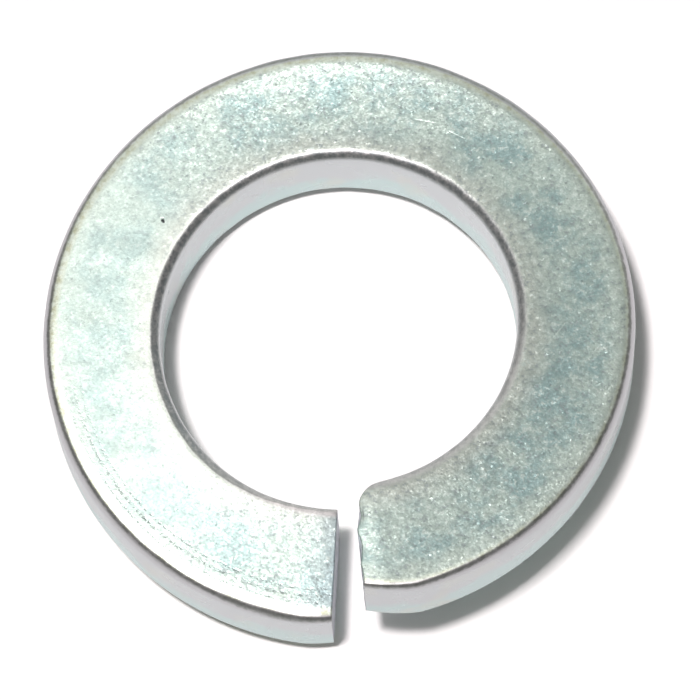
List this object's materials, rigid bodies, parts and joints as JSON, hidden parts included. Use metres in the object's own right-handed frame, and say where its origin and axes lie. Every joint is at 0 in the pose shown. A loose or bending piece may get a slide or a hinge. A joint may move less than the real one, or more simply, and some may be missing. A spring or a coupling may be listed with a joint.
{
  "type": "spring lock washer",
  "caption": "Helical split spring washer of thick square-cornered wire, one turn, ends sheared and offset, that loads a screwed joint and resists loosening.",
  "frame": {"origin": "on the bore axis, level with the lowest point of the low end", "axes": "+Z along the bore axis towards the high end, -Y through the gap between the cut ends, +X towards the high end's side of the gap"},
  "size_m": [0.0214, 0.0213, 0.0064],
  "materials": {
    "zinc_plated_steel": "bright zinc plate, clear and slightly cloudy, over spring steel"
  },
  "bodies": {
    "root": {"lock_washer": "zinc_plated_steel"}
  },
  "joints": []
}
